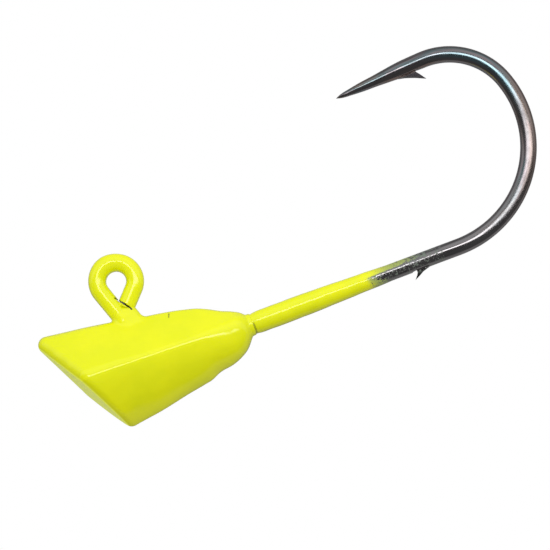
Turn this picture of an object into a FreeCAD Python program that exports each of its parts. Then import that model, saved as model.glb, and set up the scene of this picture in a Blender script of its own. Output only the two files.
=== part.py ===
import FreeCAD
import Part
import Sketcher
import math
import os

# Painted lead jig head: a cast lead head on a forged jig hook, under a coat of gloss paint.
#
# Millimetres.  The head stands on its flat slanted foot: the foot's face is the plane z = 0, its
# middle is the origin, +Z is up, and the hook lies in the XZ plane.
#
# Every piece is drawn in the frame of the straight shank and then turned into place.  In the
# shank's frame X runs along the shank away from the head, Z points to the side of the line eye
# and of the hook's point, and the origin is where the shank leaves the head's collar.

DIMENSIONS = {
    # cast head, measured over the paint
    "foot_distance": 14.38,       # collar's end to the middle of the foot, along the shank
    "foot_angle": 61.5,           # between the foot's face and the shank
    "foot_rim": 0.5,              # rounding of the foot's edge, over the paint
    "collar_length": 0.75,
    "collar_radius": 0.95,
    "collar_rounding": 0.22,
    "head_paint": 0.12,
    # cross-sections of the head: distance ahead of the collar's end, reach above and below the
    # shank's axis, half width, and corner radius of the four-sided section
    "front_ahead": 18.5,
    "front_top": 5.2,
    "front_bottom": 5.2,
    "front_width": 4.3,
    "front_corner": 0.75,
    "breast_ahead": 11.2,
    "breast_top": 4.17,
    "breast_bottom": 4.18,
    "breast_width": 3.6,
    "breast_corner": 0.75,
    "flank_ahead": 8.7,
    "flank_top": 3.68,
    "flank_bottom": 3.75,
    "flank_width": 3.2,
    "flank_corner": 0.65,
    "waist_ahead": 6.2,
    "waist_top": 3.26,
    "waist_bottom": 3.25,
    "waist_width": 2.82,
    "waist_corner": 0.72,
    "shoulder_ahead": 3.9,
    "shoulder_top": 2.68,
    "shoulder_bottom": 2.66,
    "shoulder_width": 2.34,
    "shoulder_corner": 0.9,
    "neck_ahead": 2.2,
    "neck_top": 1.8,
    "neck_bottom": 2.2,
    "neck_width": 1.8,
    "neck_corner": 1.1,
    "root_ahead": 0.7,
    "root_top": 1.12,
    "root_bottom": 1.14,
    "root_width": 1.12,
    "root_corner": 0.98,
    # hook: shank, bend and point
    "shank_radius": 0.65,
    "shank_inside": 5.0,          # how far the thick wire reaches into the head
    "shank_length": 16.85,        # straight part behind the collar
    "bend_radius": 8.54,
    "bend_sweep": 108.3,
    "throat_radius": 5.47,
    "throat_sweep": 75.5,
    "point_run": 2.1,             # full-width wire between the bend and the ground point
    "point_length": 5.17,
    "point_swell": 0.1,           # how far the ground point bulges over a plain cone
    "point_tip": 0.04,
    "forged_half": 0.56,          # half thickness between the forged flats
    "forged_start": 17.5,         # the flats cover the bend from here on
    # barb on the inside of the point, placed from the start of the ground point
    "barb_front": 0.4,
    "barb_back": 1.6,
    "barb_tip_back": 2.04,
    "barb_tip_height": 1.51,
    "barb_thickness": 0.5,
    "barb_gouge": 1.2,
    # bait keeper barb under the shank, placed from the collar's end
    "keeper_rear": 14.0,
    "keeper_crotch": 13.2,
    "keeper_tip": 12.8,
    "keeper_height": 1.28,
    "keeper_thickness": 0.55,
    "keeper_gouge": 1.3,
    "gouge_depth": 0.14,
    "barb_root": 0.22,            # depth from the wire's axis at which a barb starts
    "barb_seat": 0.63,            # height above the axis at which its back leaves the wire
    # line eye, its leg and the corner inside the head
    "eye_wire_radius": 0.6,
    "wire_overlap": 1.2,          # the eye's wire runs into the shank's over this length
    "leg_ahead": 8.31,            # where the leg's axis crosses the shank's axis
    "leg_angle": 71.5,
    "corner_radius": 1.6,
    "loop_height": 6.847,         # along the leg's axis, from the shank's axis to the loop
    "loop_radius": 1.48,
    "loop_sweep": 241.6,
    "tail_length": 1.35,
    "eye_paint": 0.08,
    "bare_end": 0.1,              # wire that the paint leaves bare at the loop's cut end
    "mound_start": 3.3,           # paint pooled around the leg, along the leg's axis
    "mound_length": 1.5,
    "mound_base": 1.4,
    "mound_top": 0.72,
    # paint sleeve on the shank
    "sleeve_radius": 0.875,
    "sleeve_full": 4.5,
    "sleeve_thin": 0.675,
    "sleeve_end": 11.8,
}

doc = FreeCAD.newDocument("jig_head")
dims = doc.addObject("Spreadsheet::Sheet", "dims")
for row, (alias, number) in enumerate(DIMENSIONS.items(), start=1):
    dims.set(f"A{row}", alias)
    dims.set(f"B{row}", str(number))
    dims.setAlias(f"B{row}", alias)
doc.recompute()


def value(expression):
    """The number that an expression over the sheet's cells gives now."""
    return float(dims.evalExpression(expression))


def make_body(name):
    return doc.addObject("PartDesign::Body", name)


def make_sketch(body, name, role, offset=None):
    """A sketch on one of its body's own origin planes."""
    plane = [f for f in body.Origin.OriginFeatures if f.Role == role][0]
    sketch = body.newObject("Sketcher::SketchObject", name)
    sketch.AttachmentSupport = [(plane, "")]
    sketch.MapMode = "FlatFace"
    if offset is not None:
        sketch.AttachmentOffset = offset
    return sketch


def constrain(sketch, rules):
    """Adds all of a sketch's constraints at once; a rule with a name is a driving dimension.

    A rule is (kind, places) or (kind, places, name, expression over the sheet's cells).
    """
    constraints = []
    for rule in rules:
        driving = [value(rule[3])] if len(rule) > 2 else []
        constraints.append(Sketcher.Constraint(rule[0], *rule[1], *driving))
    for index, rule in zip(sketch.addConstraint(constraints), rules):
        if len(rule) > 2:
            sketch.renameConstraint(index, rule[2])
            sketch.setExpression(f"Constraints.{rule[2]}", rule[3])


def direction(angle):
    return FreeCAD.Vector(math.cos(angle), math.sin(angle), 0)


def turned(x, z, degrees):
    """Offset of a sketch on the XZ plane: its own X axis starts at x, z and is turned."""
    turn = FreeCAD.Rotation(FreeCAD.Vector(0, 0, 1), degrees)
    return FreeCAD.Placement(FreeCAD.Vector(x, z, 0), turn)


def draw_polygon(sketch, corners):
    """Closed outline through corners; a corner is a pair of expressions, "0" on an axis."""
    points = [FreeCAD.Vector(value(across), value(up), 0) for across, up in corners]
    rules = []
    for i, (across, up) in enumerate(corners):
        following = (i + 1) % len(corners)
        sketch.addGeometry(Part.LineSegment(points[i], points[following]))
        rules.append(("Coincident", (i, 2, following, 1)))
        if across == "0":
            rules.append(("PointOnObject", (i, 1, -2)))
        else:
            rules.append(("DistanceX", (-1, 1, i, 1), f"across_{i}", across))
        if up == "0":
            rules.append(("PointOnObject", (i, 1, -1)))
        else:
            rules.append(("DistanceY", (-1, 1, i, 1), f"up_{i}", up))
    constrain(sketch, rules)


def draw_circle(sketch, radius):
    circle = Part.Circle(FreeCAD.Vector(0, 0, 0), FreeCAD.Vector(0, 0, 1), value(radius))
    sketch.addGeometry(circle)
    constrain(sketch, [("Coincident", (0, 3, -1, 1)), ("Radius", (0,), "radius", radius)])


def draw_path(sketch, start, heading, steps):
    """Chain of lines and arcs that run smoothly into each other, from a line on the X axis.

    A step is ("line", length) or ("left" or "right", radius, sweep in degrees).  Returns the
    chain's end and its heading there, in radians.
    """
    place = FreeCAD.Vector(value(start), 0, 0)
    rules = [
        ("DistanceX", (-1, 1, 0, 1), "start", start),
        ("PointOnObject", (0, 1, -1)),
        ("Horizontal", (0,)),
    ]
    leaving = None
    for i, (kind, extent, *sweep) in enumerate(steps):
        if kind == "line":
            onward = place + direction(heading) * value(extent)
            sketch.addGeometry(Part.LineSegment(place, onward))
            rules.append(("Distance", (i,), f"length_{i}", extent))
        else:
            side = 1 if kind == "left" else -1
            centre = place + direction(heading + side * math.pi / 2) * value(extent)
            first = heading - side * math.pi / 2
            heading += side * math.radians(value(sweep[0]))
            last = heading - side * math.pi / 2
            onward = centre + direction(last) * value(extent)
            circle = Part.Circle(centre, FreeCAD.Vector(0, 0, 1), value(extent))
            sketch.addGeometry(Part.ArcOfCircle(circle, min(first, last), max(first, last)))
            rules.append(("Radius", (i,), f"radius_{i}", extent))
            rules.append(("Angle", (i,), f"sweep_{i}", sweep[0]))
        # an arc that turns right is stored from its far end to its near end
        near, far = (2, 1) if kind == "right" else (1, 2)
        if leaving is not None:
            rules.append(("Tangent", (i - 1, leaving, i, near)))
        leaving = far
        place = onward
    constrain(sketch, rules)
    return place, heading


def draw_section(sketch, name, inset):
    """Four-sided section with rounded corners; name picks its row of cells in the sheet."""
    corner = f"dims.{name}_corner - {inset}"
    across = f"dims.{name}_width - {inset} - ({corner})"
    above = f"dims.{name}_top - {inset} - ({corner})"
    below = f"dims.{name}_bottom - {inset} - ({corner})"
    out, up, down = value(across), value(above), value(below)
    rise = math.atan2(out, up)
    fall = math.atan2(out, down)

    # right, top, left and bottom corner: centre, first and last angle of its arc, distance
    corners = [
        (out, 0, -fall, rise, across),
        (0, up, rise, math.pi - rise, above),
        (-out, 0, math.pi - rise, math.pi + fall, across),
        (0, -down, math.pi + fall, 2 * math.pi - fall, below),
    ]
    arcs = []
    for centre_x, centre_y, first, last, _ in corners:
        centre = FreeCAD.Vector(centre_x, centre_y, 0)
        circle = Part.Circle(centre, FreeCAD.Vector(0, 0, 1), value(corner))
        arcs.append(Part.ArcOfCircle(circle, first, last))
    rules = []
    for i, arc in enumerate(arcs):
        sketch.addGeometry(arc)
        sketch.addGeometry(Part.LineSegment(arc.EndPoint, arcs[(i + 1) % 4].StartPoint))
        round_corner, side, following = 2 * i, 2 * i + 1, (2 * i + 2) % 8
        rules.append(("Tangent", (round_corner, 2, side, 1)))
        rules.append(("Tangent", (side, 2, following, 1)))
        rules.append(("Radius", (round_corner,), f"corner_{i}", corner))
        upright = i in (1, 3)
        rules.append(("PointOnObject", (round_corner, 3, -2 if upright else -1)))
        kind = "DistanceY" if upright else "DistanceX"
        places = (-1, 1, round_corner, 3) if i < 2 else (round_corner, 3, -1, 1)
        rules.append((kind, places, f"reach_{i}", corners[i][4]))
    constrain(sketch, rules)


def swept_wire(body, name, path, start, radius):
    """Round wire along a path that starts on the X axis."""
    profile = make_sketch(body, f"{name}_profile", "YZ_Plane")
    profile.setExpression("AttachmentOffset.Base.z", start)
    draw_circle(profile, radius)
    wire = body.newObject("PartDesign::AdditivePipe", name)
    wire.Profile = profile
    wire.Spine = path
    doc.recompute()
    return wire


def revolve(body, name, sketch):
    """Turns a sketch about its own X axis."""
    feature = body.newObject("PartDesign::Revolution", name)
    feature.Profile = sketch
    feature.ReferenceAxis = (sketch, ["H_Axis"])
    feature.Angle = 360
    doc.recompute()
    return feature


def extrude(body, kind, name, sketch, length):
    """Pad or pocket of a sketch, to both sides of its plane."""
    feature = body.newObject(f"PartDesign::{kind}", name)
    feature.Profile = sketch
    feature.SideType = "Symmetric"
    feature.setExpression("Length", length)
    doc.recompute()
    return feature


def check_change(before, after, grows):
    """Stops the build if a feature didn't add or cut anything."""
    if (after.Shape.Volume - before.Shape.Volume) * (1 if grows else -1) < 1e-3:
        raise RuntimeError(f"{after.Name} changed nothing")


LEG_CORNER = "dims.corner_radius * tan(dims.leg_angle / 2 * 1deg)"
EYE_START = "-dims.shank_inside + dims.wire_overlap"


def draw_eye(body, tail):
    """Path of the eye's wire: forward in the head, up the leg, round the loop, down the tail."""
    sketch = make_sketch(body, "eye_path", "XZ_Plane")
    forward = f"dims.leg_ahead - dims.shank_inside + dims.wire_overlap - {LEG_CORNER}"
    draw_path(sketch, EYE_START, math.pi, [
        ("line", forward),
        ("right", "dims.corner_radius", "dims.leg_angle"),
        ("line", f"dims.loop_height - {LEG_CORNER}"),
        ("right", "dims.loop_radius", "dims.loop_sweep"),
        ("line", tail),
    ])
    return sketch


def build_hook():
    body = make_body("hook")
    bend_path = make_sketch(body, "bend_path", "XZ_Plane")
    bend_end, heading = draw_path(bend_path, "-dims.shank_inside", 0.0, [
        ("line", "dims.shank_inside + dims.shank_length"),
        ("left", "dims.bend_radius", "dims.bend_sweep"),
        ("left", "dims.throat_radius", "dims.throat_sweep"),
        ("line", "dims.point_run"),
    ])
    swept_wire(body, "shank_and_bend", bend_path, "-dims.shank_inside", "dims.shank_radius")

    # the forging die leaves two flats on the bend, parallel to the hook's plane
    before = body.Tip
    for side, turn in (("near", 1), ("far", -1)):
        flat = make_sketch(body, f"{side}_flat_outline", "XZ_Plane")
        flat.setExpression("AttachmentOffset.Base.z", f"{turn} * 2 * dims.forged_half")
        reach = "dims.forged_start + 2 * dims.bend_radius"
        draw_polygon(flat, [
            ("dims.forged_start", "-dims.bend_radius"),
            (reach, "-dims.bend_radius"),
            (reach, "3 * dims.bend_radius"),
            ("dims.forged_start", "3 * dims.bend_radius"),
        ])
        cut = extrude(body, "Pocket", f"{side}_flat", flat, "2 * dims.forged_half")
        check_change(before, cut, False)
        before = cut

    # ground point, in two tapers, turned about the wire's axis
    at_point = turned(bend_end.x, bend_end.y, math.degrees(heading))
    point = make_sketch(body, "point_outline", "XZ_Plane", at_point)
    draw_polygon(point, [
        ("0", "0"),
        ("dims.point_length", "0"),
        ("dims.point_length", "dims.point_tip"),
        ("dims.point_length / 2", "dims.shank_radius / 2 + dims.point_swell"),
        ("0", "dims.shank_radius"),
    ])
    check_change(before, revolve(body, "ground_point", point), True)

    # slices that raise the barbs, each a wedge cut down into the wire
    before = body.Tip
    inside = "dims.shank_radius - dims.gouge_depth"
    gouge = make_sketch(body, "barb_gouge_outline", "XZ_Plane", at_point)
    draw_polygon(gouge, [
        ("-dims.barb_back", inside),
        ("-dims.barb_back", "2 * dims.shank_radius"),
        ("-dims.barb_back - dims.barb_gouge", "2 * dims.shank_radius"),
        ("-dims.barb_back - dims.barb_gouge", "dims.shank_radius"),
    ])
    cut = extrude(body, "Pocket", "barb_gouge", gouge, "3 * dims.shank_radius")
    check_change(before, cut, False)
    before = cut
    keeper_gouge = make_sketch(body, "keeper_gouge_outline", "XZ_Plane")
    draw_polygon(keeper_gouge, [
        ("dims.keeper_crotch", f"-({inside})"),
        ("dims.keeper_crotch - dims.keeper_gouge", "-dims.shank_radius"),
        ("dims.keeper_crotch - dims.keeper_gouge", "-2 * dims.shank_radius"),
        ("dims.keeper_crotch", "-2 * dims.shank_radius"),
    ])
    cut = extrude(body, "Pocket", "keeper_gouge", keeper_gouge, "3 * dims.shank_radius")
    check_change(before, cut, False)

    before = cut
    barb = make_sketch(body, "barb_outline", "XZ_Plane", at_point)
    draw_polygon(barb, [
        ("-dims.barb_front", "dims.barb_root"),
        ("-dims.barb_front", "dims.barb_seat"),
        ("-dims.barb_tip_back", "dims.barb_tip_height"),
        ("-dims.barb_back", "dims.barb_root"),
    ])
    barb_pad = extrude(body, "Pad", "barb", barb, "dims.barb_thickness")
    check_change(before, barb_pad, True)
    keeper = make_sketch(body, "keeper_outline", "XZ_Plane")
    draw_polygon(keeper, [
        ("dims.keeper_crotch", "-dims.barb_root"),
        ("dims.keeper_tip", "-dims.keeper_height"),
        ("dims.keeper_rear", "-dims.barb_seat"),
        ("dims.keeper_rear", "-dims.barb_root"),
    ])
    keeper_pad = extrude(body, "Pad", "keeper", keeper, "dims.keeper_thickness")
    check_change(barb_pad, keeper_pad, True)

    eye_path = draw_eye(body, "dims.tail_length")
    eye = swept_wire(body, "eye", eye_path, EYE_START, "dims.eye_wire_radius")
    check_change(keeper_pad, eye, True)
    return body


def build_head(name, inset):
    """The head's shape, drawn inside its painted outline by the inset."""
    body = make_body(name)
    sections = []
    for station in ("front", "breast", "flank", "waist", "shoulder", "neck", "root"):
        section = make_sketch(body, f"{name}_{station}", "YZ_Plane")
        section.setExpression("AttachmentOffset.Base.z", f"-dims.{station}_ahead - {inset}")
        draw_section(section, station, inset)
        sections.append(section)
    doc.recompute()
    for part, chain in (("block", sections[:2]), ("taper", sections[1:])):
        loft = body.newObject("PartDesign::AdditiveLoft", f"{name}_{part}")
        loft.Profile = chain[0]
        loft.Sections = chain[1:]
        doc.recompute()

    # round collar behind the taper
    collar = make_sketch(body, f"{name}_collar_outline", "XZ_Plane")
    draw_polygon(collar, [
        ("-dims.collar_length - dims.root_ahead", "0"),
        ("-dims.collar_length - dims.root_ahead", f"dims.collar_radius - {inset}"),
        (f"-dims.collar_rounding - {inset}", f"dims.collar_radius - {inset}"),
        (f"-{inset}", f"dims.collar_radius - dims.collar_rounding - {inset}"),
        (f"-{inset}", "0"),
    ])
    collar_turned = revolve(body, f"{name}_collar", collar)
    check_change(loft, collar_turned, True)

    # slanted flat foot: its outline's X axis points out of the foot
    foot = make_sketch(
        body, f"{name}_foot_outline", "XZ_Plane",
        turned(-value("dims.foot_distance"), 0, 270 - value("dims.foot_angle")),
    )
    draw_polygon(foot, [
        (f"-{inset}", "-2 * dims.breast_top"),
        ("3 * dims.breast_top", "-2 * dims.breast_top"),
        ("3 * dims.breast_top", "2 * dims.breast_top"),
        (f"-{inset}", "2 * dims.breast_top"),
    ])
    cut = extrude(body, "Pocket", f"{name}_foot", foot, "4 * dims.breast_top")
    check_change(collar_turned, cut, False)
    return body


def round_foot(body, radius):
    """Rounds the edge of the foot's face."""
    cut = body.Tip
    slope = math.radians(270 - value("dims.foot_angle"))
    outward = FreeCAD.Vector(math.cos(slope), 0, math.sin(slope))
    faces = [f for f in cut.Shape.Faces if f.normalAt(0, 0).dot(outward) > 0.999]
    rim = faces[0].OuterWire.Edges
    names = [
        f"Edge{i}" for i, edge in enumerate(cut.Shape.Edges, start=1)
        if any(edge.isSame(other) for other in rim)
    ]
    fillet = body.newObject("PartDesign::Fillet", f"{body.Name}_rim")
    fillet.Base = (cut, names)
    fillet.setExpression("Radius", radius)
    doc.recompute()
    check_change(cut, fillet, False)


def build_mound(body):
    """Paint pooled round the leg of the eye, turned about the leg's axis."""
    before = body.Tip
    outline = make_sketch(
        body, "mound_outline", "XZ_Plane",
        turned(-value("dims.leg_ahead"), 0, 180 - value("dims.leg_angle")),
    )
    draw_polygon(outline, [
        ("dims.mound_start", "0"),
        ("dims.mound_start + dims.mound_length", "0"),
        ("dims.mound_start + dims.mound_length", "dims.mound_top"),
        ("dims.mound_start", "dims.mound_base"),
    ])
    check_change(before, revolve(body, "mound", outline), True)


def build_eye_sleeve():
    body = make_body("eye_sleeve")
    path = draw_eye(body, "dims.tail_length - dims.bare_end")
    swept_wire(body, "eye_film", path, EYE_START, "dims.eye_wire_radius + dims.eye_paint")
    return body


def build_shank_sleeve():
    body = make_body("shank_sleeve")
    outline = make_sketch(body, "sleeve_outline", "XZ_Plane")
    draw_polygon(outline, [
        ("0", "0"),
        ("dims.sleeve_end", "0"),
        ("dims.sleeve_end", "dims.sleeve_thin"),
        ("dims.sleeve_full", "dims.sleeve_radius"),
        ("0", "dims.sleeve_radius"),
    ])
    revolve(body, "sleeve", outline)
    return body


def cut_away(name, base, *tools):
    """A finished piece: the base without the space that its neighbours fill."""
    for i, tool in enumerate(tools):
        result = doc.addObject("Part::Cut", name if tool is tools[-1] else f"{name}_step_{i}")
        result.Base = base
        result.Tool = tool
        base = result
    doc.recompute()
    return base


hook = build_hook()
lead_core = build_head("lead_core", "dims.head_paint")
head_form = build_head("head_form", "0")
round_foot(lead_core, "dims.foot_rim - dims.head_paint")
round_foot(head_form, "dims.foot_rim")
build_mound(head_form)
eye_sleeve = build_eye_sleeve()
shank_sleeve = build_shank_sleeve()

# stand the assembly on its foot
tilt = FreeCAD.Rotation(FreeCAD.Vector(0, -1, 0), value("dims.foot_angle"))
collar_end = tilt.multVec(FreeCAD.Vector(value("dims.foot_distance"), 0, 0))
standing = FreeCAD.Placement(collar_end, tilt)
for body in (hook, lead_core, head_form, eye_sleeve, shank_sleeve):
    body.Placement = standing
doc.recompute()

pieces = {
    "hook": hook,
    "lead_head": cut_away("lead_head", lead_core, hook),
    "head_coat": cut_away("head_coat", head_form, lead_core, hook),
    "eye_coat": cut_away("eye_coat", eye_sleeve, head_form, hook),
    "shank_coat": cut_away("shank_coat", shank_sleeve, hook),
}
doc.recompute()

for item in doc.Objects:
    if "Invalid" in item.State or "Error" in item.State:
        raise RuntimeError(f"{item.Name} failed: {item.State}")
for name, piece in pieces.items():
    piece.Label = name
    if piece.Shape.isNull() or not piece.Shape.isValid():
        raise RuntimeError(f"{name} has no valid shape")

os.makedirs("parts", exist_ok=True)
for name, piece in pieces.items():
    piece.Shape.exportStep(f"parts/{name}.step")
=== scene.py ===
import math

import bmesh
import bpy
import numpy as np
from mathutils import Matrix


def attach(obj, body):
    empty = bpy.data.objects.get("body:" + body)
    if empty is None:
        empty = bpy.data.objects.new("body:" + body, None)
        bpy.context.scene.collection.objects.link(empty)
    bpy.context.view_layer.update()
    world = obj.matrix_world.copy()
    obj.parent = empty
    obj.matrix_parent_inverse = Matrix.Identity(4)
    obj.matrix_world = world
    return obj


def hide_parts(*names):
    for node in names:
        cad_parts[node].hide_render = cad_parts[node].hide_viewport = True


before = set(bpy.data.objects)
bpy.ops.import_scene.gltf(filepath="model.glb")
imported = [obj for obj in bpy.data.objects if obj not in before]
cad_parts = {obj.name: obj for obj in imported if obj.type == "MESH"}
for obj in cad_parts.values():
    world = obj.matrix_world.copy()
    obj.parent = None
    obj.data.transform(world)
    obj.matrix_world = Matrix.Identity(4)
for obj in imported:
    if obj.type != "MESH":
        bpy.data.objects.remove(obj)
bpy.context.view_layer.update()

import openvdb
from mathutils import Matrix, Vector

# Sizes below are millimetres in the shank's frame: X along the shank away from the head, Y to
# the far side, Z towards the line eye, origin on the shank's axis just behind the collar.  The
# object stands on the head's slanted foot, so every mesh is turned into that position.
FOOT_ANGLE = math.radians(61.5)
FOOT_DISTANCE = 14.38
ALONG = np.array([math.cos(FOOT_ANGLE), 0, math.sin(FOOT_ANGLE)])
ACROSS = np.array([0.0, 1.0, 0.0])
TOWARDS_EYE = np.array([-math.sin(FOOT_ANGLE), 0, math.cos(FOOT_ANGLE)])
METRES = 0.001

# hook wire; the taper is pairs of distance from the tip and radius
WIRE_RADIUS = 0.655
SHANK_LENGTH = 16.85
BEND_RADIUS, BEND_SWEEP = 8.54, 108.3
THROAT_RADIUS, THROAT_SWEEP = 5.47, 75.5
POINT_RUN, POINT_LENGTH = 2.1, 5.17
FORGED_THINNING, FORGED_SQUARE = 0.145, 0.25
POINT_TAPER = [(0, 0.015), (0.3, 0.125), (1.25, 0.275), (2.25, 0.385), (3.25, 0.45),
               (4.25, 0.54), (5.2, 0.62), (8, 0.65)]

# line eye
EYE_WIRE_RADIUS = 0.6
LEG_AHEAD, LEG_ANGLE = 8.31, math.radians(71.5)
CORNER_RADIUS = 1.6
LEG_HEIGHT = 6.847
LOOP_RADIUS, LOOP_SWEEP = 1.48, 241.6
TAIL_LENGTH, TAIL_PAINT = 1.35, 0.35
EYE_PAINT_RADIUS = 0.70
# crack between the cut end of the eye's wire and its leg, from the hole down to the mound,
# and a short one beside it on the head
CRACK = ((-9.62, 5.66), (-8.72, 4.40))
CRACK_HALF = 0.045
TICK = ((-6.15, 2.98), (-6.26, 2.70))

# head: reach above and below the shank's axis, half width and corner radius, each as pairs of
# distance ahead of the origin and size
HEAD_TOP = [(0.3, 0.5), (0.8, 1.08), (1.5, 1.5), (2.2, 1.8), (3.2, 2.35), (4, 2.72), (5, 3.0),
            (6.5, 3.33), (8.5, 3.62), (11, 4.13), (14, 4.57), (18.5, 5.2)]
HEAD_BOTTOM = [(0.3, 0.5), (0.8, 1.12), (1.2, 1.6), (2, 2.14), (3, 2.43), (4, 2.66), (5, 3.03),
               (7, 3.42), (9, 3.82), (11, 4.14), (14, 4.6), (18.5, 5.2)]
HEAD_WIDTH = [(0.3, 0.5), (0.8, 1.1), (2.2, 1.8), (3.9, 2.34), (6.2, 2.82), (8.7, 3.2),
              (11.2, 3.6), (18.5, 4.3)]
HEAD_CORNER = [(0.3, 0.45), (0.8, 0.98), (2.2, 1.05), (3.9, 0.8), (6.2, 0.65), (9, 0.75),
               (12, 1.1), (18.5, 1.2)]
# how full the bellied underside is: 1 is flat-sided, 2 is round
HEAD_FULLNESS = [(0.8, 2.0), (2.5, 1.8), (5, 1.55), (8, 1.42), (18.5, 1.4)]
# slope of the head's sides, radius of the foot's rim, and paint over the lead
HEAD_FLARE = 0.14
FOOT_RIM = 0.66
HEAD_PAINT = 0.13
# lumps of paint under the tail of the head: place, size and height
LUMPS = [((-2.9, 0, -2.3), 0.55, 0.07), ((-4.7, 0, -2.9), 0.5, 0.06)]
UNEVENNESS = 0.02
COLLAR_FRONT, COLLAR_END, COLLAR_RADIUS = -1.25, -0.25, 0.88
COLLAR_EDGE, COLLAR_FILLET = 0.16, 0.1
# stretch of the eye's leg that the head's paint takes in, a hair thinner than the eye's own
LEG_FOOT, LEG_TAKEN, LEG_THINNER, LEG_FILLET = 2.0, 4.55, 0.01, 0.3
# paint pooled round the eye's leg, and behind it under the cut end of the wire
MOUND_FOOT, MOUND_TOP, MOUND_RADIUS = 2.6, 4.0, 0.76
POOL_TOP, POOL_FOOT, POOL_RADIUS = (-8.98, 4.42), (-8.62, 3.3), 0.58
POOL_FILLET = 0.35
# boxes that hold the head and the eye, as opposite corners, and the cells of their meshes
HEAD_BOX = ((-17.2, -4.4, -5.4), (0.3, 4.4, 5.7))
EYE_BOX = ((-11.6, -0.9, 3.4), (-6.7, 0.9, 9.4))
HEAD_CELL, LEAD_CELL, EYE_CELL = 0.065, 0.1, 0.04

# sleeve of paint on the shank: where it starts, its bore, and distance along and radius
SLEEVE_START, SLEEVE_BORE = -0.3, 0.6
SLEEVE = [(-0.25, 0.8), (0, 0.84), (1, 0.87), (2.5, 0.875), (4.5, 0.855), (6.5, 0.8),
          (8.5, 0.735), (10.5, 0.69), (11.8, 0.66), (13, 0.65)]
# stretch of the shank over which the paint thins out to specks
SPRAY_START, SPRAY_END = 9.0, 15.0


# ---------------------------------------------------------------- shapes

def smooth_curve(x, knots):
    """Smooth curve through (place, size) pairs, held level beyond both ends."""
    places, sizes = np.array(knots, float).T
    slopes = np.gradient(sizes, places)
    x = np.clip(x, places[0], places[-1])
    i = np.clip(np.searchsorted(places, x) - 1, 0, len(places) - 2)
    width = places[i + 1] - places[i]
    t = (x - places[i]) / width
    start = (1 + 2 * t) * (1 - t) ** 2 * sizes[i] + t * (1 - t) ** 2 * width * slopes[i]
    end = t * t * (3 - 2 * t) * sizes[i + 1] + t * t * (t - 1) * width * slopes[i + 1]
    return start + end


def stand(points):
    """From the shank's frame in millimetres to the standing position in metres."""
    x, y, z = np.asarray(points, float).T
    turned = np.outer(x + FOOT_DISTANCE, ALONG) + np.outer(y, ACROSS)
    return (turned + np.outer(z, TOWARDS_EYE)) * METRES


def add_piece(name, points, faces, sharp=None):
    """Mesh object from points in the shank's frame, which its shader also reads back."""
    mesh = bpy.data.meshes.new(name)
    mesh.from_pydata(stand(points).tolist(), [], faces)
    keep_places(mesh, points)
    face_outward(mesh)
    mesh.polygons.foreach_set("use_smooth", [True] * len(mesh.polygons))
    if sharp is not None:
        mesh.set_sharp_from_angle(angle=math.radians(sharp))
    mesh.update()
    piece = bpy.data.objects.new(name, mesh)
    bpy.context.scene.collection.objects.link(piece)
    return piece


def face_outward(mesh):
    """Turns the faces so that their normals point out of the solid."""
    work = bmesh.new()
    work.from_mesh(mesh)
    bmesh.ops.recalc_face_normals(work, faces=work.faces)
    if work.calc_volume(signed=True) < 0:
        bmesh.ops.reverse_faces(work, faces=work.faces)
    work.to_mesh(mesh)
    work.free()


def keep_places(mesh, points):
    """Stores each point's place in the shank's frame, for the shaders."""
    places = mesh.attributes.new("place", "FLOAT_VECTOR", "POINT")
    places.data.foreach_set("vector", np.asarray(points, np.float32).ravel())


def trace(start, heading, steps, step=0.22):
    """Points along a chain of lines and arcs in the hook's plane, and the headings there.

    A step is (length, 0) for a line or (radius, sweep in degrees) for an arc; a negative
    sweep turns right.
    """
    place = np.array(start, float)
    points, headings = [place], [heading]
    for extent, sweep in steps:
        turn = math.radians(sweep)
        length = extent if sweep == 0 else extent * abs(turn)
        count = max(2, round(length / step))
        for _ in range(count):
            heading += turn / count
            chord = length / count
            if sweep:
                chord = 2 * extent * math.sin(abs(turn) / count / 2)
            middle = heading - turn / count / 2
            place = place + chord * np.array([math.cos(middle), math.sin(middle)])
            points.append(place)
            headings.append(heading)
    return np.array(points), np.array(headings)


def grid_mesh(field, low, high, cell):
    """Quads on the surface where a field of the three coordinates crosses zero."""
    axes = [np.arange(a, b, cell) for a, b in zip(low, high)]
    x, y, z = np.meshgrid(*axes, indexing="ij", sparse=True)
    values = np.ascontiguousarray(np.broadcast_to(field(x, y, z), [len(a) for a in axes]))
    grid = openvdb.FloatGrid(1.0)
    grid.copyFromArray(values.astype(np.float32))
    points, quads = grid.convertToQuads(isovalue=0.0)
    return np.array(points) * cell + np.array(low), quads.tolist()


def tube_faces(rings, count, closed=False):
    """Quads that join each ring of points to the next, and the last to the first if closed."""
    faces = []
    for i in range(rings if closed else rings - 1):
        onward = (i + 1) % rings
        for j in range(count):
            following = (j + 1) % count
            faces.append((i * count + j, i * count + following,
                          onward * count + following, onward * count + j))
    return faces


def blend_union(a, b, width):
    """Union of two fields with a soft fillet about as wide as given."""
    overlap = np.maximum(width - np.abs(a - b), 0) / width
    return np.minimum(a, b) - overlap * overlap * width / 4


def round_cut(a, b, radius, cosine=0.0):
    """Where both fields are negative, with the edge between them rounded.

    The cosine is that of the angle between the directions in which the two fields grow.
    """
    a, b = a + radius, b + radius
    beyond = (a > cosine * b) & (b > cosine * a) & (np.maximum(a, b) > 0)
    square = (a * a + b * b - 2 * cosine * a * b) / (1 - cosine * cosine)
    return np.where(beyond, np.sqrt(np.maximum(square, 0)), np.maximum(a, b)) - radius


def rod(x, y, z, start, end):
    """Distance from a straight line between two places in the hook's plane."""
    (x0, z0), (x1, z1) = start, end
    run, rise = x1 - x0, z1 - z0
    t = np.clip(((x - x0) * run + (z - z0) * rise) / (run * run + rise * rise), 0, 1)
    return np.sqrt((x - x0 - t * run) ** 2 + y * y + (z - z0 - t * rise) ** 2)


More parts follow.
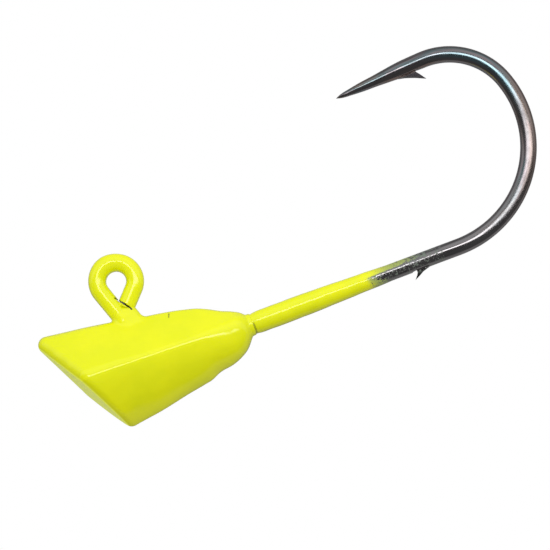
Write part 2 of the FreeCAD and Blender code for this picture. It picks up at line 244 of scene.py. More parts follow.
def bump(x, y, z, place, size):
    """Soft bump of height one around a place."""
    return np.exp(-((x - place[0]) ** 2 + (y - place[1]) ** 2 + (z - place[2]) ** 2) / size ** 2)


def ripple(x, y, z):
    """Slow unevenness of hand-dipped paint, between about minus one and one."""
    slow = np.sin(0.9 * x + 1.3 * y + 0.4) * np.sin(1.1 * z - 0.7 * y + 1.9)
    fast = np.sin(2.1 * x - 1.7 * z + 2.2) * np.sin(1.6 * y + 1.2 * z + 0.8)
    return 0.65 * slow + 0.35 * fast


# ---------------------------------------------------------------- line eye and head, in paint

def along_leg(distance):
    """Place on the leg's axis, measured from the shank's axis."""
    return (-LEG_AHEAD - distance * math.cos(LEG_ANGLE), distance * math.sin(LEG_ANGLE))


LEG_HEADING = math.pi - LEG_ANGLE
LOOP_START = along_leg(LEG_HEIGHT)
LOOP_CENTRE = (LOOP_START[0] + LOOP_RADIUS * math.sin(LEG_HEADING),
               LOOP_START[1] - LOOP_RADIUS * math.cos(LEG_HEADING))
LOOP_LAST = LEG_HEADING - math.radians(LOOP_SWEEP)
TAIL_START = (LOOP_CENTRE[0] - LOOP_RADIUS * math.sin(LOOP_LAST),
              LOOP_CENTRE[1] + LOOP_RADIUS * math.cos(LOOP_LAST))
TAIL_END = (TAIL_START[0] + TAIL_LENGTH * math.cos(LOOP_LAST),
            TAIL_START[1] + TAIL_LENGTH * math.sin(LOOP_LAST))


def leg_field(x, y, z, top):
    """The painted leg, up to a distance from the shank's axis."""
    return rod(x, y, z, along_leg(LEG_FOOT), along_leg(top)) - EYE_PAINT_RADIUS


def eye_field(x, y, z):
    """The painted leg, loop and tail of the line eye."""
    leg = leg_field(x, y, z, LEG_HEIGHT)
    across, up = x - LOOP_CENTRE[0], z - LOOP_CENTRE[1]
    ring = np.hypot(np.hypot(across, up) - LOOP_RADIUS, y) - EYE_PAINT_RADIUS
    # the ring is kept only over the loop's sweep, where this second field is negative
    middle = LEG_HEADING - math.radians(LOOP_SWEEP) / 2 + math.pi / 2
    turn = across * math.cos(middle) + up * math.sin(middle)
    opening = -turn + np.hypot(across, up) * math.cos(math.radians(LOOP_SWEEP) / 2)
    ring = np.maximum(ring, 0.8 * opening)

    # the tail is drawn twice as long and cut off a little past the wire's end
    far_end = (2 * TAIL_END[0] - TAIL_START[0], 2 * TAIL_END[1] - TAIL_START[1])
    tail = rod(x, y, z, TAIL_START, far_end) - EYE_PAINT_RADIUS
    beyond = (x - TAIL_END[0]) * math.cos(LOOP_LAST) + (z - TAIL_END[1]) * math.sin(LOOP_LAST)
    tail = round_cut(tail, beyond - TAIL_PAINT, 0.1)
    eye = np.minimum(np.minimum(leg, ring), tail)

    # paint gathers over the top of the loop, and cracks at the cut end
    eye = eye - 0.06 * bump(x, y, z, (LOOP_CENTRE[0] - 0.7, 0, LOOP_CENTRE[1] + 2.1), 1.1)
    crack = rod(x, 0 * y, z, *CRACK) - CRACK_HALF
    return np.maximum(eye + 0.006 * ripple(2 * x, 2 * y, 2 * z), -crack)


def upper_section(side, up, wide, tall, corner):
    """Distance from flat faces that meet in rounded corners, and how far it faces upwards.

    The section is a diamond's upper half, drawn in by the corner's radius and grown by it.
    """
    wide, tall = wide - corner, tall - corner
    lean = (wide * (wide - 2 * side) - tall * (tall - 2 * up)) / (wide ** 2 + tall ** 2)
    lean = np.clip(lean, -1, 1)
    off_side, off_up = side - 0.5 * wide * (1 - lean), up - 0.5 * tall * (1 + lean)
    away = np.maximum(np.hypot(off_side, off_up), 0.001)
    sign = np.where(side * tall + up * wide < wide * tall, -1.0, 1.0)
    return sign * away - corner, sign * off_up / away


def lower_section(side, down, wide, deep, fullness):
    """Distance from a bellied underside, and how far it faces downwards."""
    across, below = side / wide + 1e-6, down / deep + 1e-6
    size = (across ** fullness + below ** fullness) ** (1 / fullness)
    slope_side = (across / size) ** (fullness - 1) / wide
    slope_down = (below / size) ** (fullness - 1) / deep
    slope = np.hypot(slope_side, slope_down)
    return (size - 1) / slope, slope_down / slope


def head_shape(x, y, z):
    """The head alone, down to where its taper runs into the collar."""
    ahead = -x
    wide = smooth_curve(ahead, HEAD_WIDTH)
    upper, facing_up = upper_section(np.abs(y), np.maximum(z, 0), wide,
                                     smooth_curve(ahead, HEAD_TOP),
                                     smooth_curve(ahead, HEAD_CORNER))
    lower, facing_down = lower_section(np.abs(y), np.maximum(-z, 0), wide,
                                       smooth_curve(ahead, HEAD_BOTTOM),
                                       smooth_curve(ahead, HEAD_FULLNESS))
    head = np.where(z > 0, upper, lower)
    facing = np.where(z > 0, facing_up, -facing_down)

    # unevenness of the dipped paint, and the lumps that it leaves
    head = head - UNEVENNESS * ripple(x, y, z)
    for place, size, height in LUMPS:
        head = head - height * bump(x, y, z, place, size)
    head = np.maximum(head, x + HEAD_TOP[0][0])

    # flat foot with a rounded rim
    foot = -((x + FOOT_DISTANCE) * ALONG[2] + z * TOWARDS_EYE[2])
    cosine = -HEAD_FLARE * ALONG[2] - facing * TOWARDS_EYE[2]
    return round_cut(head, foot, FOOT_RIM, cosine)


def lead_field(x, y, z):
    """The cast lead, a layer of paint inside the head's surface."""
    return head_shape(x, y, z) + HEAD_PAINT


def head_field(x, y, z):
    """The painted head with its collar and the foot of the eye."""
    # collar, a ring of thick paint with a crease in front of it
    from_middle = x - (COLLAR_FRONT + COLLAR_END) / 2
    collar = round_cut(np.hypot(y, z) - COLLAR_RADIUS,
                       np.abs(from_middle) - (COLLAR_END - COLLAR_FRONT) / 2, COLLAR_EDGE)
    head = blend_union(head_shape(x, y, z), collar, COLLAR_FILLET)

    # foot of the eye: its leg, and paint pooled around and behind the leg
    leg = leg_field(x, y, z, LEG_TAKEN) + LEG_THINNER
    head = blend_union(head, leg, LEG_FILLET)
    mound = rod(x, y, z, along_leg(MOUND_FOOT), along_leg(MOUND_TOP)) - MOUND_RADIUS
    pool = rod(x, y, z, POOL_TOP, POOL_FOOT) - POOL_RADIUS
    return blend_union(blend_union(head, mound, POOL_FILLET), pool, POOL_FILLET)


def build_head_paint():
    points, quads = grid_mesh(head_field, *HEAD_BOX, HEAD_CELL)
    return add_piece("head_paint", points, quads)


def build_lead():
    points, quads = grid_mesh(lead_field, *HEAD_BOX, LEAD_CELL)
    return add_piece("lead", points, quads)


def build_eye_paint():
    points, quads = grid_mesh(eye_field, *EYE_BOX, EYE_CELL)
    return add_piece("eye_paint", points, quads)


# ---------------------------------------------------------------- hook

def build_wire():
    """The whole wire: cut end, loop and leg of the eye, shank, bend, throat and point."""
    forward = LEG_AHEAD - CORNER_RADIUS * math.tan(LEG_ANGLE / 2)
    up = LEG_HEIGHT - CORNER_RADIUS * math.tan(LEG_ANGLE / 2)
    eye, eye_headings = trace((0, 0), math.pi, [
        (forward, 0),
        (CORNER_RADIUS, -math.degrees(LEG_ANGLE)),
        (up, 0),
        (LOOP_RADIUS, -LOOP_SWEEP),
        (TAIL_LENGTH - 0.05, 0),
    ])
    hook, hook_headings = trace((0, 0), 0.0, [
        (SHANK_LENGTH, 0),
        (BEND_RADIUS, BEND_SWEEP),
        (THROAT_RADIUS, THROAT_SWEEP),
        (POINT_RUN + POINT_LENGTH, 0),
    ])
    path = np.vstack((eye[:0:-1], hook))
    heading = np.concatenate((eye_headings[:0:-1] + math.pi, hook_headings))
    steps = np.hypot(*np.diff(path, axis=0).T)
    run = np.concatenate(([0], np.cumsum(steps))) - steps[:len(eye) - 1].sum()
    left = run[-1] - run

    # ground to a point at one end, and a little thinner in the eye at the other
    radius = np.minimum(WIRE_RADIUS, smooth_curve(left, POINT_TAPER))
    radius = radius + (EYE_WIRE_RADIUS - WIRE_RADIUS) * np.clip((-3 - run) / 2, 0, 1)
    # forged flats fade in after the shank and out before the point
    flat = np.clip((run - 16) / 3, 0, 1) * np.clip((left - 7) / 3, 0, 1)

    around = np.linspace(0, 2 * math.pi, 56, endpoint=False)
    rings = []
    for place, turn, size, flattened in zip(path, heading, radius, flat):
        # a rounded square at full flattening, a circle at none
        power = 2 / (2 + FORGED_SQUARE * flattened)
        out = size * np.sign(np.cos(around)) * np.abs(np.cos(around)) ** power
        side = size * np.sign(np.sin(around)) * np.abs(np.sin(around)) ** power
        side = side * (1 - FORGED_THINNING * flattened)
        ring = np.stack((place[0] - out * math.sin(turn), side,
                         place[1] + out * math.cos(turn)), axis=1)
        rings.append(ring)
    count = len(around)
    last = (len(rings) - 1) * count
    faces = tube_faces(len(rings), count)
    faces.append(tuple(range(count))[::-1])
    faces.append(tuple(range(last, last + count)))
    return np.concatenate(rings), faces, path, heading, run


def loose_solid(points, faces):
    """Helper object in the shank's frame and in millimetres, for cutting and joining."""
    mesh = bpy.data.meshes.new("helper")
    mesh.from_pydata(points.tolist(), [], faces)
    face_outward(mesh)
    helper = bpy.data.objects.new("helper", mesh)
    bpy.context.scene.collection.objects.link(helper)
    return helper


def wedge(outline):
    """Solid over an outline in the hook's plane; each corner is x, z and half thickness."""
    count = len(outline)
    near = [(x, -half, z) for x, z, half in outline]
    far = [(x, half, z) for x, z, half in outline]
    faces = [tuple(range(count)), tuple(range(2 * count - 1, count - 1, -1))]
    for i in range(count):
        following = (i + 1) % count
        faces.append((i, i + count, following + count, following))
    return loose_solid(np.array(near + far), faces)


def combine(body, tool, operation):
    """Joins a tool to a body or cuts it from the body, then throws the tool away."""
    modifier = body.modifiers.new(operation, "BOOLEAN")
    modifier.operation = operation
    modifier.solver = "EXACT"
    modifier.object = tool
    bpy.context.view_layer.update()
    graph = bpy.context.evaluated_depsgraph_get()
    mesh = bpy.data.meshes.new_from_object(body.evaluated_get(graph))
    body.modifiers.clear()
    body.data = mesh
    bpy.data.objects.remove(tool)


def at_point(path, heading, outline):
    """Outline drawn from the start of the ground point: back along the wire, and inwards."""
    ahead = np.array([math.cos(heading[-1]), math.sin(heading[-1])])
    inwards = np.array([-ahead[1], ahead[0]])
    start = path[-1] - POINT_LENGTH * ahead
    corners = []
    for back, depth, half in outline:
        x, z = start - back * ahead + depth * inwards
        corners.append((x, z, half))
    return corners


# Slices raised from the wire.  A corner of the barb is a distance back from the ground point's
# start, a depth into the hook and a half thickness; a corner of the keeper is x, z and the same.
BARB = [(-0.1, 0.25, 0.3), (-0.1, 0.58, 0.3), (0.4, 0.72, 0.3), (0.76, 0.87, 0.27),
        (1.17, 1.07, 0.2), (1.54, 1.29, 0.11), (1.91, 1.51, 0.03), (1.64, 1.09, 0.17),
        (1.38, 0.73, 0.26), (1.3, 0.3, 0.26)]
BARB_GOUGE = [(1.36, 0.52, 1), (1.36, 1.2, 1), (2.5, 1.2, 1), (2.5, 0.68, 1)]
KEEPER = [(12.78, -1.26, 0.04), (13.03, -0.97, 0.14), (13.17, -0.72, 0.26), (13.15, -0.4, 0.26),
          (14.1, -0.4, 0.3), (14.2, -0.62, 0.3), (13.93, -0.70, 0.3), (13.59, -0.81, 0.26),
          (13.24, -1.03, 0.15)]
KEEPER_GOUGE = [(13.16, -0.50, 1), (13.16, -1.2, 1), (12.1, -1.2, 1), (12.1, -0.66, 1)]


def build_hook_wire():
    """The wire with its barb and keeper, each raised out of a gouge."""
    points, faces, path, heading, run = build_wire()
    body = loose_solid(points, faces)
    combine(body, wedge(at_point(path, heading, BARB_GOUGE)), "DIFFERENCE")
    combine(body, wedge(at_point(path, heading, BARB)), "UNION")
    combine(body, wedge(KEEPER_GOUGE), "DIFFERENCE")
    combine(body, wedge(KEEPER), "UNION")

    points = np.array([vertex.co[:] for vertex in body.data.vertices])
    faces = [tuple(face.vertices) for face in body.data.polygons]
    bpy.data.objects.remove(body)
    piece = add_piece("hook_wire", points, faces, sharp=32)

    # how far along the wire and to which side of its axis each vertex lies, for the shader
    in_plane = points[:, [0, 2]]
    nearest = np.array([((place - path) ** 2).sum(axis=1).argmin() for place in in_plane])
    off = in_plane - path[nearest]
    across = off[:, 1] * np.cos(heading[nearest]) - off[:, 0] * np.sin(heading[nearest])
    for name, numbers in (("run", run[nearest]), ("across", across)):
        attribute = piece.data.attributes.new(name, "FLOAT", "POINT")
        attribute.data.foreach_set("value", numbers.astype(np.float32))
    return piece


# ---------------------------------------------------------------- sleeve

def build_shank_paint():
    """Film of paint on the shank, a closed tube whose far edge frays out at the bare wire."""
    around = np.linspace(0, 2 * math.pi, 64, endpoint=False)
    stations = np.concatenate((np.linspace(SLEEVE_START, 0.1, 8), np.arange(0.2, 12.9, 0.12)))
    # the film ends first on the near side, where the paint was wiped off
    edge = 11.0 + 0.5 * np.sin(around) - 0.7 * np.sin(around - 0.15) ** 2 * (np.sin(around) < 0)
    edge = edge + 0.12 * np.sin(3 * around + 1) + 0.06 * np.sin(7 * around)
    rings = []
    for x in stations:
        radius = smooth_curve(x, SLEEVE) * np.ones_like(around)
        radius = radius + 0.005 * np.sin(2.3 * x + around) + 0.003 * np.sin(5 * x + 2 * around)
        film = np.clip((edge - x) / 1.2, 0, 1) ** 0.5
        radius = WIRE_RADIUS - 0.01 + (radius - WIRE_RADIUS + 0.01) * film
        rings.append(np.stack((np.full_like(around, x), radius * np.sin(around),
                               radius * np.cos(around)), axis=1))
    for x in stations[::-1]:
        rings.append(np.stack((np.full_like(around, x), SLEEVE_BORE * np.sin(around),
                               SLEEVE_BORE * np.cos(around)), axis=1))
    faces = tube_faces(len(rings), len(around), closed=True)
    return add_piece("shank_paint", np.concatenate(rings), faces, sharp=50)


# ---------------------------------------------------------------- materials

YELLOW = (0.84, 0.865, 0.0, 1)
GREENISH = (0.79, 0.835, 0.0, 1)
DEEP_YELLOW = (0.74, 0.80, 0.0, 1)
THIN_PAINT = (0.36, 0.43, 0.10, 1)
THINNEST_PAINT = (0.15, 0.19, 0.15, 1)
# painted light: the glow given to the foot's face for light bounced up from the ground
FOOT_PAINTED_LIGHT = (0.75, 0.85, 0.16, 1)
# painted shade for the cracks and the collar's seam
CRACK_AND_SEAM_SHADE = (0.035, 0.04, 0.008, 1)
METAL = (0.31, 0.295, 0.30, 1)
BROWN_TINT = (0.32, 0.23, 0.19, 1)
TEAL_TINT = (0.20, 0.33, 0.37, 1)
BARB_METAL = (0.05, 0.045, 0.05, 1)
DRAW_LINE = (0.08, 0.075, 0.08, 1)
# tints of the plating's thin film, as pairs of place on a noise's scale and colour
FILM_TINTS = [(0.28, (0.31, 0.22, 0.19, 1)), (0.42, (0.26, 0.25, 0.255, 1)),
              (0.50, (0.29, 0.245, 0.26, 1)), (0.57, (0.17, 0.24, 0.26, 1)),
              (0.68, (0.30, 0.24, 0.21, 1))]
LEAD_DARK, LEAD_PALE = (0.16, 0.165, 0.18, 1), (0.34, 0.345, 0.36, 1)


class Shader:
    """Builds a node tree; its methods return the socket or sockets that hold their result."""

    def __init__(self, tree):
        self.tree = tree
        tree.nodes.clear()

    def node(self, kind, inputs=(), out=0, **settings):
        node = self.tree.nodes.new(kind)
        for key, setting in settings.items():
            setattr(node, key, setting)
        for key, source in dict(inputs).items():
            if isinstance(source, bpy.types.NodeSocket):
                self.tree.links.new(source, node.inputs[key])
            else:
                node.inputs[key].default_value = source
        return node.outputs[out] if len(node.outputs) else node

    def calc(self, operation, a, b=0.0, clamp=False):
        return self.node("ShaderNodeMath", {0: a, 1: b}, operation=operation, use_clamp=clamp)

    def fade(self, value, start, end, low=0.0, high=1.0):
        """Smooth step from low at start to high at end."""
        return self.node("ShaderNodeMapRange", {0: value, 1: start, 2: end, 3: low, 4: high},
                         interpolation_type="SMOOTHSTEP")

    def noise(self, place, scale, detail=2.0, roughness=0.5):
        return self.node("ShaderNodeTexNoise", {"Vector": place, "Scale": scale,
                                                "Detail": detail, "Roughness": roughness})

    def mix(self, factor, a, b):
        return self.node("ShaderNodeMix", {0: factor, 6: a, 7: b}, out=2, data_type="RGBA")

    def place(self):
        return self.node("ShaderNodeAttribute", out=1, attribute_name="place")

    def axis(self, vector, index):
        return self.node("ShaderNodeSeparateXYZ", {0: vector}, out=index)

    def segment(self, x, z, ends):
        """Distance in the hook's plane from a straight line between two places."""
        (x0, z0), (x1, z1) = ends
        run, rise = x1 - x0, z1 - z0
        size = run * run + rise * rise
        dx, dz = self.calc("SUBTRACT", x, x0), self.calc("SUBTRACT", z, z0)
        t = self.calc("ADD", self.calc("MULTIPLY", dx, run / size),
                      self.calc("MULTIPLY", dz, rise / size), clamp=True)
        off_x = self.calc("SUBTRACT", dx, self.calc("MULTIPLY", t, run))
        off_z = self.calc("SUBTRACT", dz, self.calc("MULTIPLY", t, rise))
        square = self.calc("ADD", self.calc("MULTIPLY", off_x, off_x),
                           self.calc("MULTIPLY", off_z, off_z))
        return self.calc("SQRT", square)

    def spray(self, place):
        """Where paint still covers the wire near the sleeve's end, and the paint's colour."""
        x, y, z = (self.axis(place, i) for i in range(3))
        # it ends first on the near side, where it was wiped off, then below, and last on top
        upper = self.fade(z, 0.06, 0.24)
        far = self.fade(y, -0.2, 0.4, 0, 1.4)
        low_end = self.calc("ADD", self.fade(z, 0.05, -0.62, 10.1, 11.6), far)
        gain = self.calc("MULTIPLY", upper, self.calc("SUBTRACT", SPRAY_END, low_end))
        end = self.calc("ADD", low_end, gain)
        length = self.calc("SUBTRACT", end, SPRAY_START)
        density = self.calc("SUBTRACT", 1.0, self.calc(
            "DIVIDE", self.calc("SUBTRACT", x, SPRAY_START), length), clamp=True)
        grain = self.calc("SUBTRACT", self.noise(place, 4.5, 3, 0.8), 0.5)
        blots = self.calc("SUBTRACT", self.noise(place, 1.6, 2, 0.6), 0.5)
        mottled = self.calc("ADD", density, self.calc("MULTIPLY", grain, 3.6))
        mottled = self.calc("ADD", mottled, self.calc("MULTIPLY", blots, 0.8))
        covered = self.fade(mottled, 0.08, 0.5)
        thin = self.mix(self.fade(density, 0.15, 0.55), THINNEST_PAINT, THIN_PAINT)
        return covered, self.mix(self.fade(density, 0.6, 0.97), thin, YELLOW)

    def surface(self, inputs, height=None, depth=0.01):
        """Principled surface; height is a bump in units of depth millimetres."""
        inputs = dict(inputs)
        if height is not None:
            inputs["Normal"] = self.node("ShaderNodeBump", {
                "Height": height, "Strength": 1.0, "Distance": depth * METRES})
        return self.node("ShaderNodeBsdfPrincipled", inputs)

    def finish(self, surface):
        self.node("ShaderNodeOutputMaterial", {0: surface})


def new_material(name):
    material = bpy.data.materials.new(name)
    material.use_nodes = True
    return material, Shader(material.node_tree)


def paint_material():
    """Gloss fluorescent lure paint: pooled, slightly wavy, cracked at the collar and the eye,
    with painted shade in the cracks and painted light on the foot's face.
    """
    material, s = new_material("gloss_paint")
    place = s.place()
    x, y, z = (s.axis(place, i) for i in range(3))
    drift = s.fade(s.noise(place, 0.35, 3), 0.35, 0.65)
    colour = s.mix(drift, YELLOW, GREENISH)
    mottle = s.fade(s.noise(place, 2.2, 4, 0.6), 0.45, 0.75, 0.0, 0.2)
    colour = s.mix(mottle, colour, DEEP_YELLOW)

    # painted shade along the crack under the cut end of the eye's wire, and along the short one
    # beside it on the head, on its near side
    wobble = s.calc("MULTIPLY", s.calc("SUBTRACT", s.noise(place, 5, 2), 0.5), 0.16)
    crack = s.calc("ADD", s.segment(x, z, CRACK), wobble)
    dark = s.fade(crack, 0.03, 0.09, 1, 0)
    tick = s.calc("ADD", s.segment(x, z, TICK), wobble)
    near = s.fade(y, -0.1, -0.3)
    dark = s.calc("MAXIMUM", dark, s.calc("MULTIPLY", s.fade(tick, 0.01, 0.06, 0.6, 0), near))
    # painted shade in the seam between the collar and the sleeve, on its lower half only
    seam = s.fade(s.calc("ABSOLUTE", s.calc("SUBTRACT", x, COLLAR_END)), 0.02, 0.1, 1, 0)
    below = s.fade(z, 0.1, -0.25, 0.0, 0.5)
    dark = s.calc("MAXIMUM", dark, s.calc("MULTIPLY", seam, below))
    colour = s.mix(dark, colour, CRACK_AND_SEAM_SHADE)

    # the far end of the sleeve thins out over the wire
    covered, thin = s.spray(place)
    on_end = s.fade(x, SPRAY_START - 0.8, SPRAY_START)
    colour = s.mix(on_end, colour, s.mix(covered, METAL, thin))
    bare = s.calc("MULTIPLY", on_end, s.calc("SUBTRACT", 1.0, covered))

    # the foot's face is duller, from being stood on, and glows a little: painted light that
    # stands in for light bounced up from the ground onto it
    height = s.calc("ADD", s.calc("MULTIPLY", s.calc("ADD", x, FOOT_DISTANCE), ALONG[2]),
                    s.calc("MULTIPLY", z, TOWARDS_EYE[2]))
    peel = s.calc("ADD", s.calc("MULTIPLY", s.noise(place, 0.9, 1), 1.5),
                  s.calc("MULTIPLY", s.noise(place, 6, 2), 0.15))
    rough = s.fade(s.noise(place, 3, 3), 0.3, 0.7, 0.16, 0.26)
    s.finish(s.surface({
        "Base Color": colour,
        "Roughness": s.calc("ADD", rough, s.calc("MULTIPLY", dark, 0.4)),
        "Metallic": bare,
        "Specular IOR Level": 0.1,
        "Coat Weight": s.fade(height, 0.05, 0.45, 0.15, 0.9),
        "Coat Roughness": 0.11,
        "Coat IOR": 1.6,
        # painted light on the foot's face
        "Emission Color": FOOT_PAINTED_LIGHT,
        "Emission Strength": s.fade(height, 0.0, 0.12, 0.36, 0.0),
    }, s.calc("SUBTRACT", peel, s.calc("MULTIPLY", dark, 2.5)), 0.03))
    return material


def wire_material():
    """Black nickel on forged wire: thin-film tints on the bend, fine draw lines, overspray."""
    material, s = new_material("black_nickel")
    place = s.place()
    y = s.axis(place, 1)
    run = s.node("ShaderNodeAttribute", out=2, attribute_name="run")
    across = s.node("ShaderNodeAttribute", out=2, attribute_name="across")
    # the film's colour changes across the wire faster than along it
    stretched = s.node("ShaderNodeCombineXYZ", {
        0: s.calc("MULTIPLY", run, 0.10), 1: s.calc("MULTIPLY", y, 1.1),
        2: s.calc("MULTIPLY", across, 1.5)})
    tint_noise = s.noise(stretched, 1.3, 3, 0.6)
    ramp = s.tree.nodes.new("ShaderNodeValToRGB")
    while len(ramp.color_ramp.elements) < len(FILM_TINTS):
        ramp.color_ramp.elements.new(0.5)
    for element, (position, tint) in zip(ramp.color_ramp.elements, FILM_TINTS):
        element.position = position
        element.color = tint
    s.tree.links.new(tint_noise, ramp.inputs[0])
    on_bend = s.fade(run, 19, 27, 0.15, 0.9)
    colour = s.mix(on_bend, METAL, ramp.outputs[0])

    # brown along the outside of the bend, teal along the middle of the throat
    brown = s.calc("MULTIPLY", s.fade(across, 0.1, -0.3), s.fade(run, 21, 26))
    brown = s.calc("MULTIPLY", brown, s.fade(run, 35, 31, 0.0, 0.6))
    colour = s.mix(brown, colour, BROWN_TINT)
    teal = s.calc("MULTIPLY", s.fade(across, -0.2, 0.05), s.fade(across, 0.45, 0.25))
    teal = s.calc("MULTIPLY", teal, s.calc("MULTIPLY", s.fade(run, 29, 33), s.fade(run, 41, 37)))
    colour = s.mix(s.calc("MULTIPLY", teal, 0.8), colour, TEAL_TINT)
    # the barbs stand beyond the wire and have no polish
    barb = s.fade(s.calc("ABSOLUTE", across), 0.64, 0.74)
    colour = s.mix(barb, colour, BARB_METAL)

    # lines drawn along the wire by the die
    fine = s.node("ShaderNodeCombineXYZ", {
        0: s.calc("MULTIPLY", run, 0.25), 1: s.calc("MULTIPLY", y, 5.0),
        2: s.calc("MULTIPLY", across, 5.0)})
    lines = s.noise(fine, 1.6, 3, 0.6)
    colour = s.mix(s.fade(lines, 0.48, 0.7, 0, 0.5), colour, DRAW_LINE)

    # overspray: specks of thin paint that get rarer along the shank
    covered, speck_colour = s.spray(place)
    covered = s.calc("MULTIPLY", covered, s.calc("LESS_THAN", run, SPRAY_END + 0.5))
    colour = s.mix(covered, colour, speck_colour)
    metallic = s.calc("SUBTRACT", 1.0, covered)
    rough = s.fade(s.noise(place, 2.5, 4, 0.6), 0.3, 0.7, 0.09, 0.16)
    rough = s.calc("ADD", rough, s.fade(run, 17, 22, 0.0, 0.11))
    rough = s.calc("ADD", rough, s.fade(run, 30, 35, 0.0, -0.10))
    rough = s.calc("ADD", rough, s.calc("MULTIPLY", barb, 0.15))
    rough = s.calc("ADD", rough, s.calc("MULTIPLY", covered, 0.2))
    height = s.calc("ADD", s.calc("MULTIPLY", lines, 0.6), covered)
    s.finish(s.surface({
        "Base Color": colour,
        "Metallic": metallic,
        "Roughness": rough,
    }, height, 0.004))
    return material


def lead_material():
    """Dull cast lead, which shows only where the paint is cut away."""
    material, s = new_material("cast_lead")
    grain = s.noise(s.place(), 1.6, 5, 0.65)
    colour = s.mix(s.fade(grain, 0.3, 0.7), LEAD_DARK, LEAD_PALE)
    s.finish(s.surface({
        "Base Color": colour,
        "Metallic": 0.85,
        "Roughness": s.fade(grain, 0.3, 0.7, 0.62, 0.42),
    }, grain, 0.02))
    return material


# ---------------------------------------------------------------- camera, floor and light

# the camera looks square on to the hook's plane, then turned, lowered and rolled a little
SIDE_TURN = math.radians(2.5)
BELOW = math.radians(10.0)
ROLL = math.radians(20.99)
LENS, SENSOR = 330.0, 36.0
PICTURE_WIDTH = 42.9
TARGET = (2.684, 0, 3.020)
STRIP_LIGHT = 4.6
DARK_ROOM = 0.115
FLOOR_HALF = 0.6
# light that meets the floor within this distance, in metres, left the foot's own face
AT_FOOT = 0.0006


def camera_axes():
    """The camera's right, up and backward directions."""
    side, ahead, eye = Vector(ACROSS), Vector(ALONG), Vector(TOWARDS_EYE)
    back = (-ahead * math.sin(SIDE_TURN) * math.cos(BELOW)
            - side * math.cos(SIDE_TURN) * math.cos(BELOW) - eye * math.sin(BELOW))
    level_up = (eye - back * eye.dot(back)).normalized()
    level_right = level_up.cross(back)
    right = level_right * math.cos(ROLL) - level_up * math.sin(ROLL)
    up = level_right * math.sin(ROLL) + level_up * math.cos(ROLL)
    return right, up, back


def place_camera():
    right, up, back = camera_axes()
    data = bpy.data.cameras.new("camera")
    data.lens = LENS
    data.sensor_width = SENSOR
    data.clip_start = 0.01
    data.clip_end = 10.0
    camera = bpy.data.objects.new("camera", data)
    bpy.context.scene.collection.objects.link(camera)
    matrix = Matrix((right, up, back)).transposed().to_4x4()
    distance = PICTURE_WIDTH * METRES * LENS / SENSOR
    matrix.translation = Vector(stand([TARGET])[0]) + back * distance
    camera.matrix_world = matrix
    bpy.context.scene.camera = camera


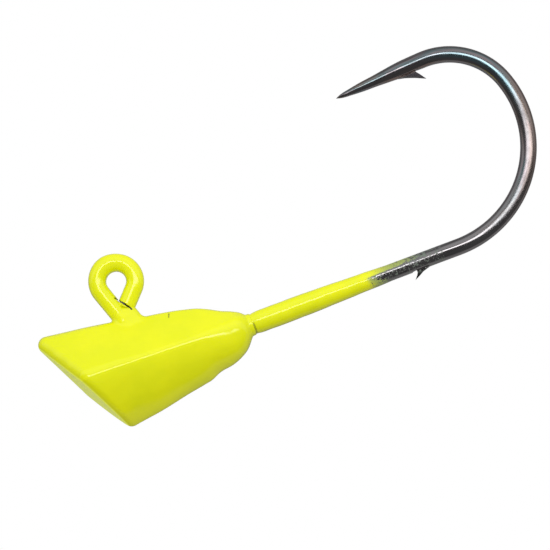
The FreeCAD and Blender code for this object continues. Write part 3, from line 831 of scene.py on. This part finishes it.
def light_studio():
    """Pale walls, a dark room behind the camera and a strip light over it, in one world."""
    right, up, back = camera_axes()
    world = bpy.data.worlds.new("studio")
    bpy.context.scene.world = world
    world.use_nodes = True
    s = Shader(world.node_tree)
    look = s.node("ShaderNodeTexCoord", out=0)
    lift, depth, aside = (s.node("ShaderNodeVectorMath", {0: look, 1: tuple(axis)}, out=1,
                                 operation="DOT_PRODUCT") for axis in (up, back, right))
    # degrees above the camera, seen from the object
    angle = s.calc("MULTIPLY", s.calc("ARCTAN2", lift, depth), 180 / math.pi)

    # what glossy surfaces see: the strip light a little right of the camera, and the walls
    above = s.calc("ADD", s.fade(angle, 28, 38, 0.0, 0.60), s.fade(angle, 65, 95, 0.0, -0.42))
    below = s.calc("ADD", s.fade(angle, -72, -84, 0.0, 0.27),
                   s.fade(angle, -120, -165, 0.0, -0.15))
    strip = s.calc("MULTIPLY", s.fade(angle, 14, 19), s.fade(angle, 29, 25))
    off_centre = s.calc("ABSOLUTE", s.calc("SUBTRACT", aside, 0.17))
    strip = s.calc("MULTIPLY", strip, s.fade(off_centre, 0.65, 0.28))
    seen = s.calc("ADD", s.calc("ADD", above, below), s.calc("MULTIPLY", strip, STRIP_LIGHT))
    seen = s.calc("ADD", seen, DARK_ROOM)

    # what lights matt surfaces: brightest from above the camera, dimmest from below
    front = s.calc("MAXIMUM", depth, 0.0)
    rear = s.calc("MAXIMUM", s.calc("MULTIPLY", depth, -1.0), 0.0)
    even = s.calc("ADD", s.calc("MULTIPLY", lift, 0.62), 0.52)
    even = s.calc("ADD", even, s.calc("MULTIPLY", front, 0.80))
    even = s.calc("ADD", even, s.calc("MULTIPLY", rear, 0.25))
    even = s.calc("MAXIMUM", even, 0.1)
    rays = s.tree.nodes.new("ShaderNodeLightPath")
    glossy, shown = rays.outputs["Is Glossy Ray"], rays.outputs["Is Camera Ray"]
    strength = s.calc("ADD", s.calc("MULTIPLY", seen, glossy),
                      s.calc("MULTIPLY", even, s.calc("SUBTRACT", 1.0, glossy)))
    # the camera sees plain white behind the object
    strength = s.calc("ADD", s.calc("MULTIPLY", strength, s.calc("SUBTRACT", 1.0, shown)), shown)
    background = s.node("ShaderNodeBackground", {0: (1, 1, 1, 1), 1: strength})
    s.node("ShaderNodeOutputWorld", {0: background})


def lay_floor():
    """Pale floor, clear from below and for light that leaves the foot's own face."""
    mesh = bpy.data.meshes.new("floor")
    signs = [(-1, -1), (1, -1), (1, 1), (-1, 1)]
    corners = [(x * FLOOR_HALF, y * FLOOR_HALF, 0) for x, y in signs]
    mesh.from_pydata(corners, [], [(0, 1, 2, 3)])
    floor = bpy.data.objects.new("floor", mesh)
    bpy.context.scene.collection.objects.link(floor)
    material, s = new_material("pale_floor")
    geometry = s.tree.nodes.new("ShaderNodeNewGeometry")
    rays = s.tree.nodes.new("ShaderNodeLightPath")
    close = s.calc("LESS_THAN", rays.outputs["Ray Length"], AT_FOOT)
    clear = s.calc("MAXIMUM", geometry.outputs["Backfacing"], close)
    pale = s.node("ShaderNodeBsdfDiffuse", {0: (0.86, 0.86, 0.86, 1)})
    through = s.node("ShaderNodeBsdfTransparent")
    s.finish(s.node("ShaderNodeMixShader", {0: clear, 1: pale, 2: through}))
    mesh.materials.append(material)
    # the object is lit and mirrored by the studio alone; the floor only takes its shadow
    floor.visible_glossy = False
    floor.visible_diffuse = False


# ---------------------------------------------------------------- assembly

def dress(piece, material, node):
    """Gives a piece its material and puts it in place of its node of the frame."""
    piece.data.materials.clear()
    piece.data.materials.append(material)
    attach(piece, "root")
    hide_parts(node)


paint = paint_material()
dress(build_head_paint(), paint, "head_coat")
dress(build_eye_paint(), paint, "eye_coat")
dress(build_shank_paint(), paint, "shank_coat")
dress(build_hook_wire(), wire_material(), "hook")
dress(build_lead(), lead_material(), "lead_head")

light_studio()
lay_floor()
place_camera()
bpy.context.scene.view_settings.view_transform = "Standard"
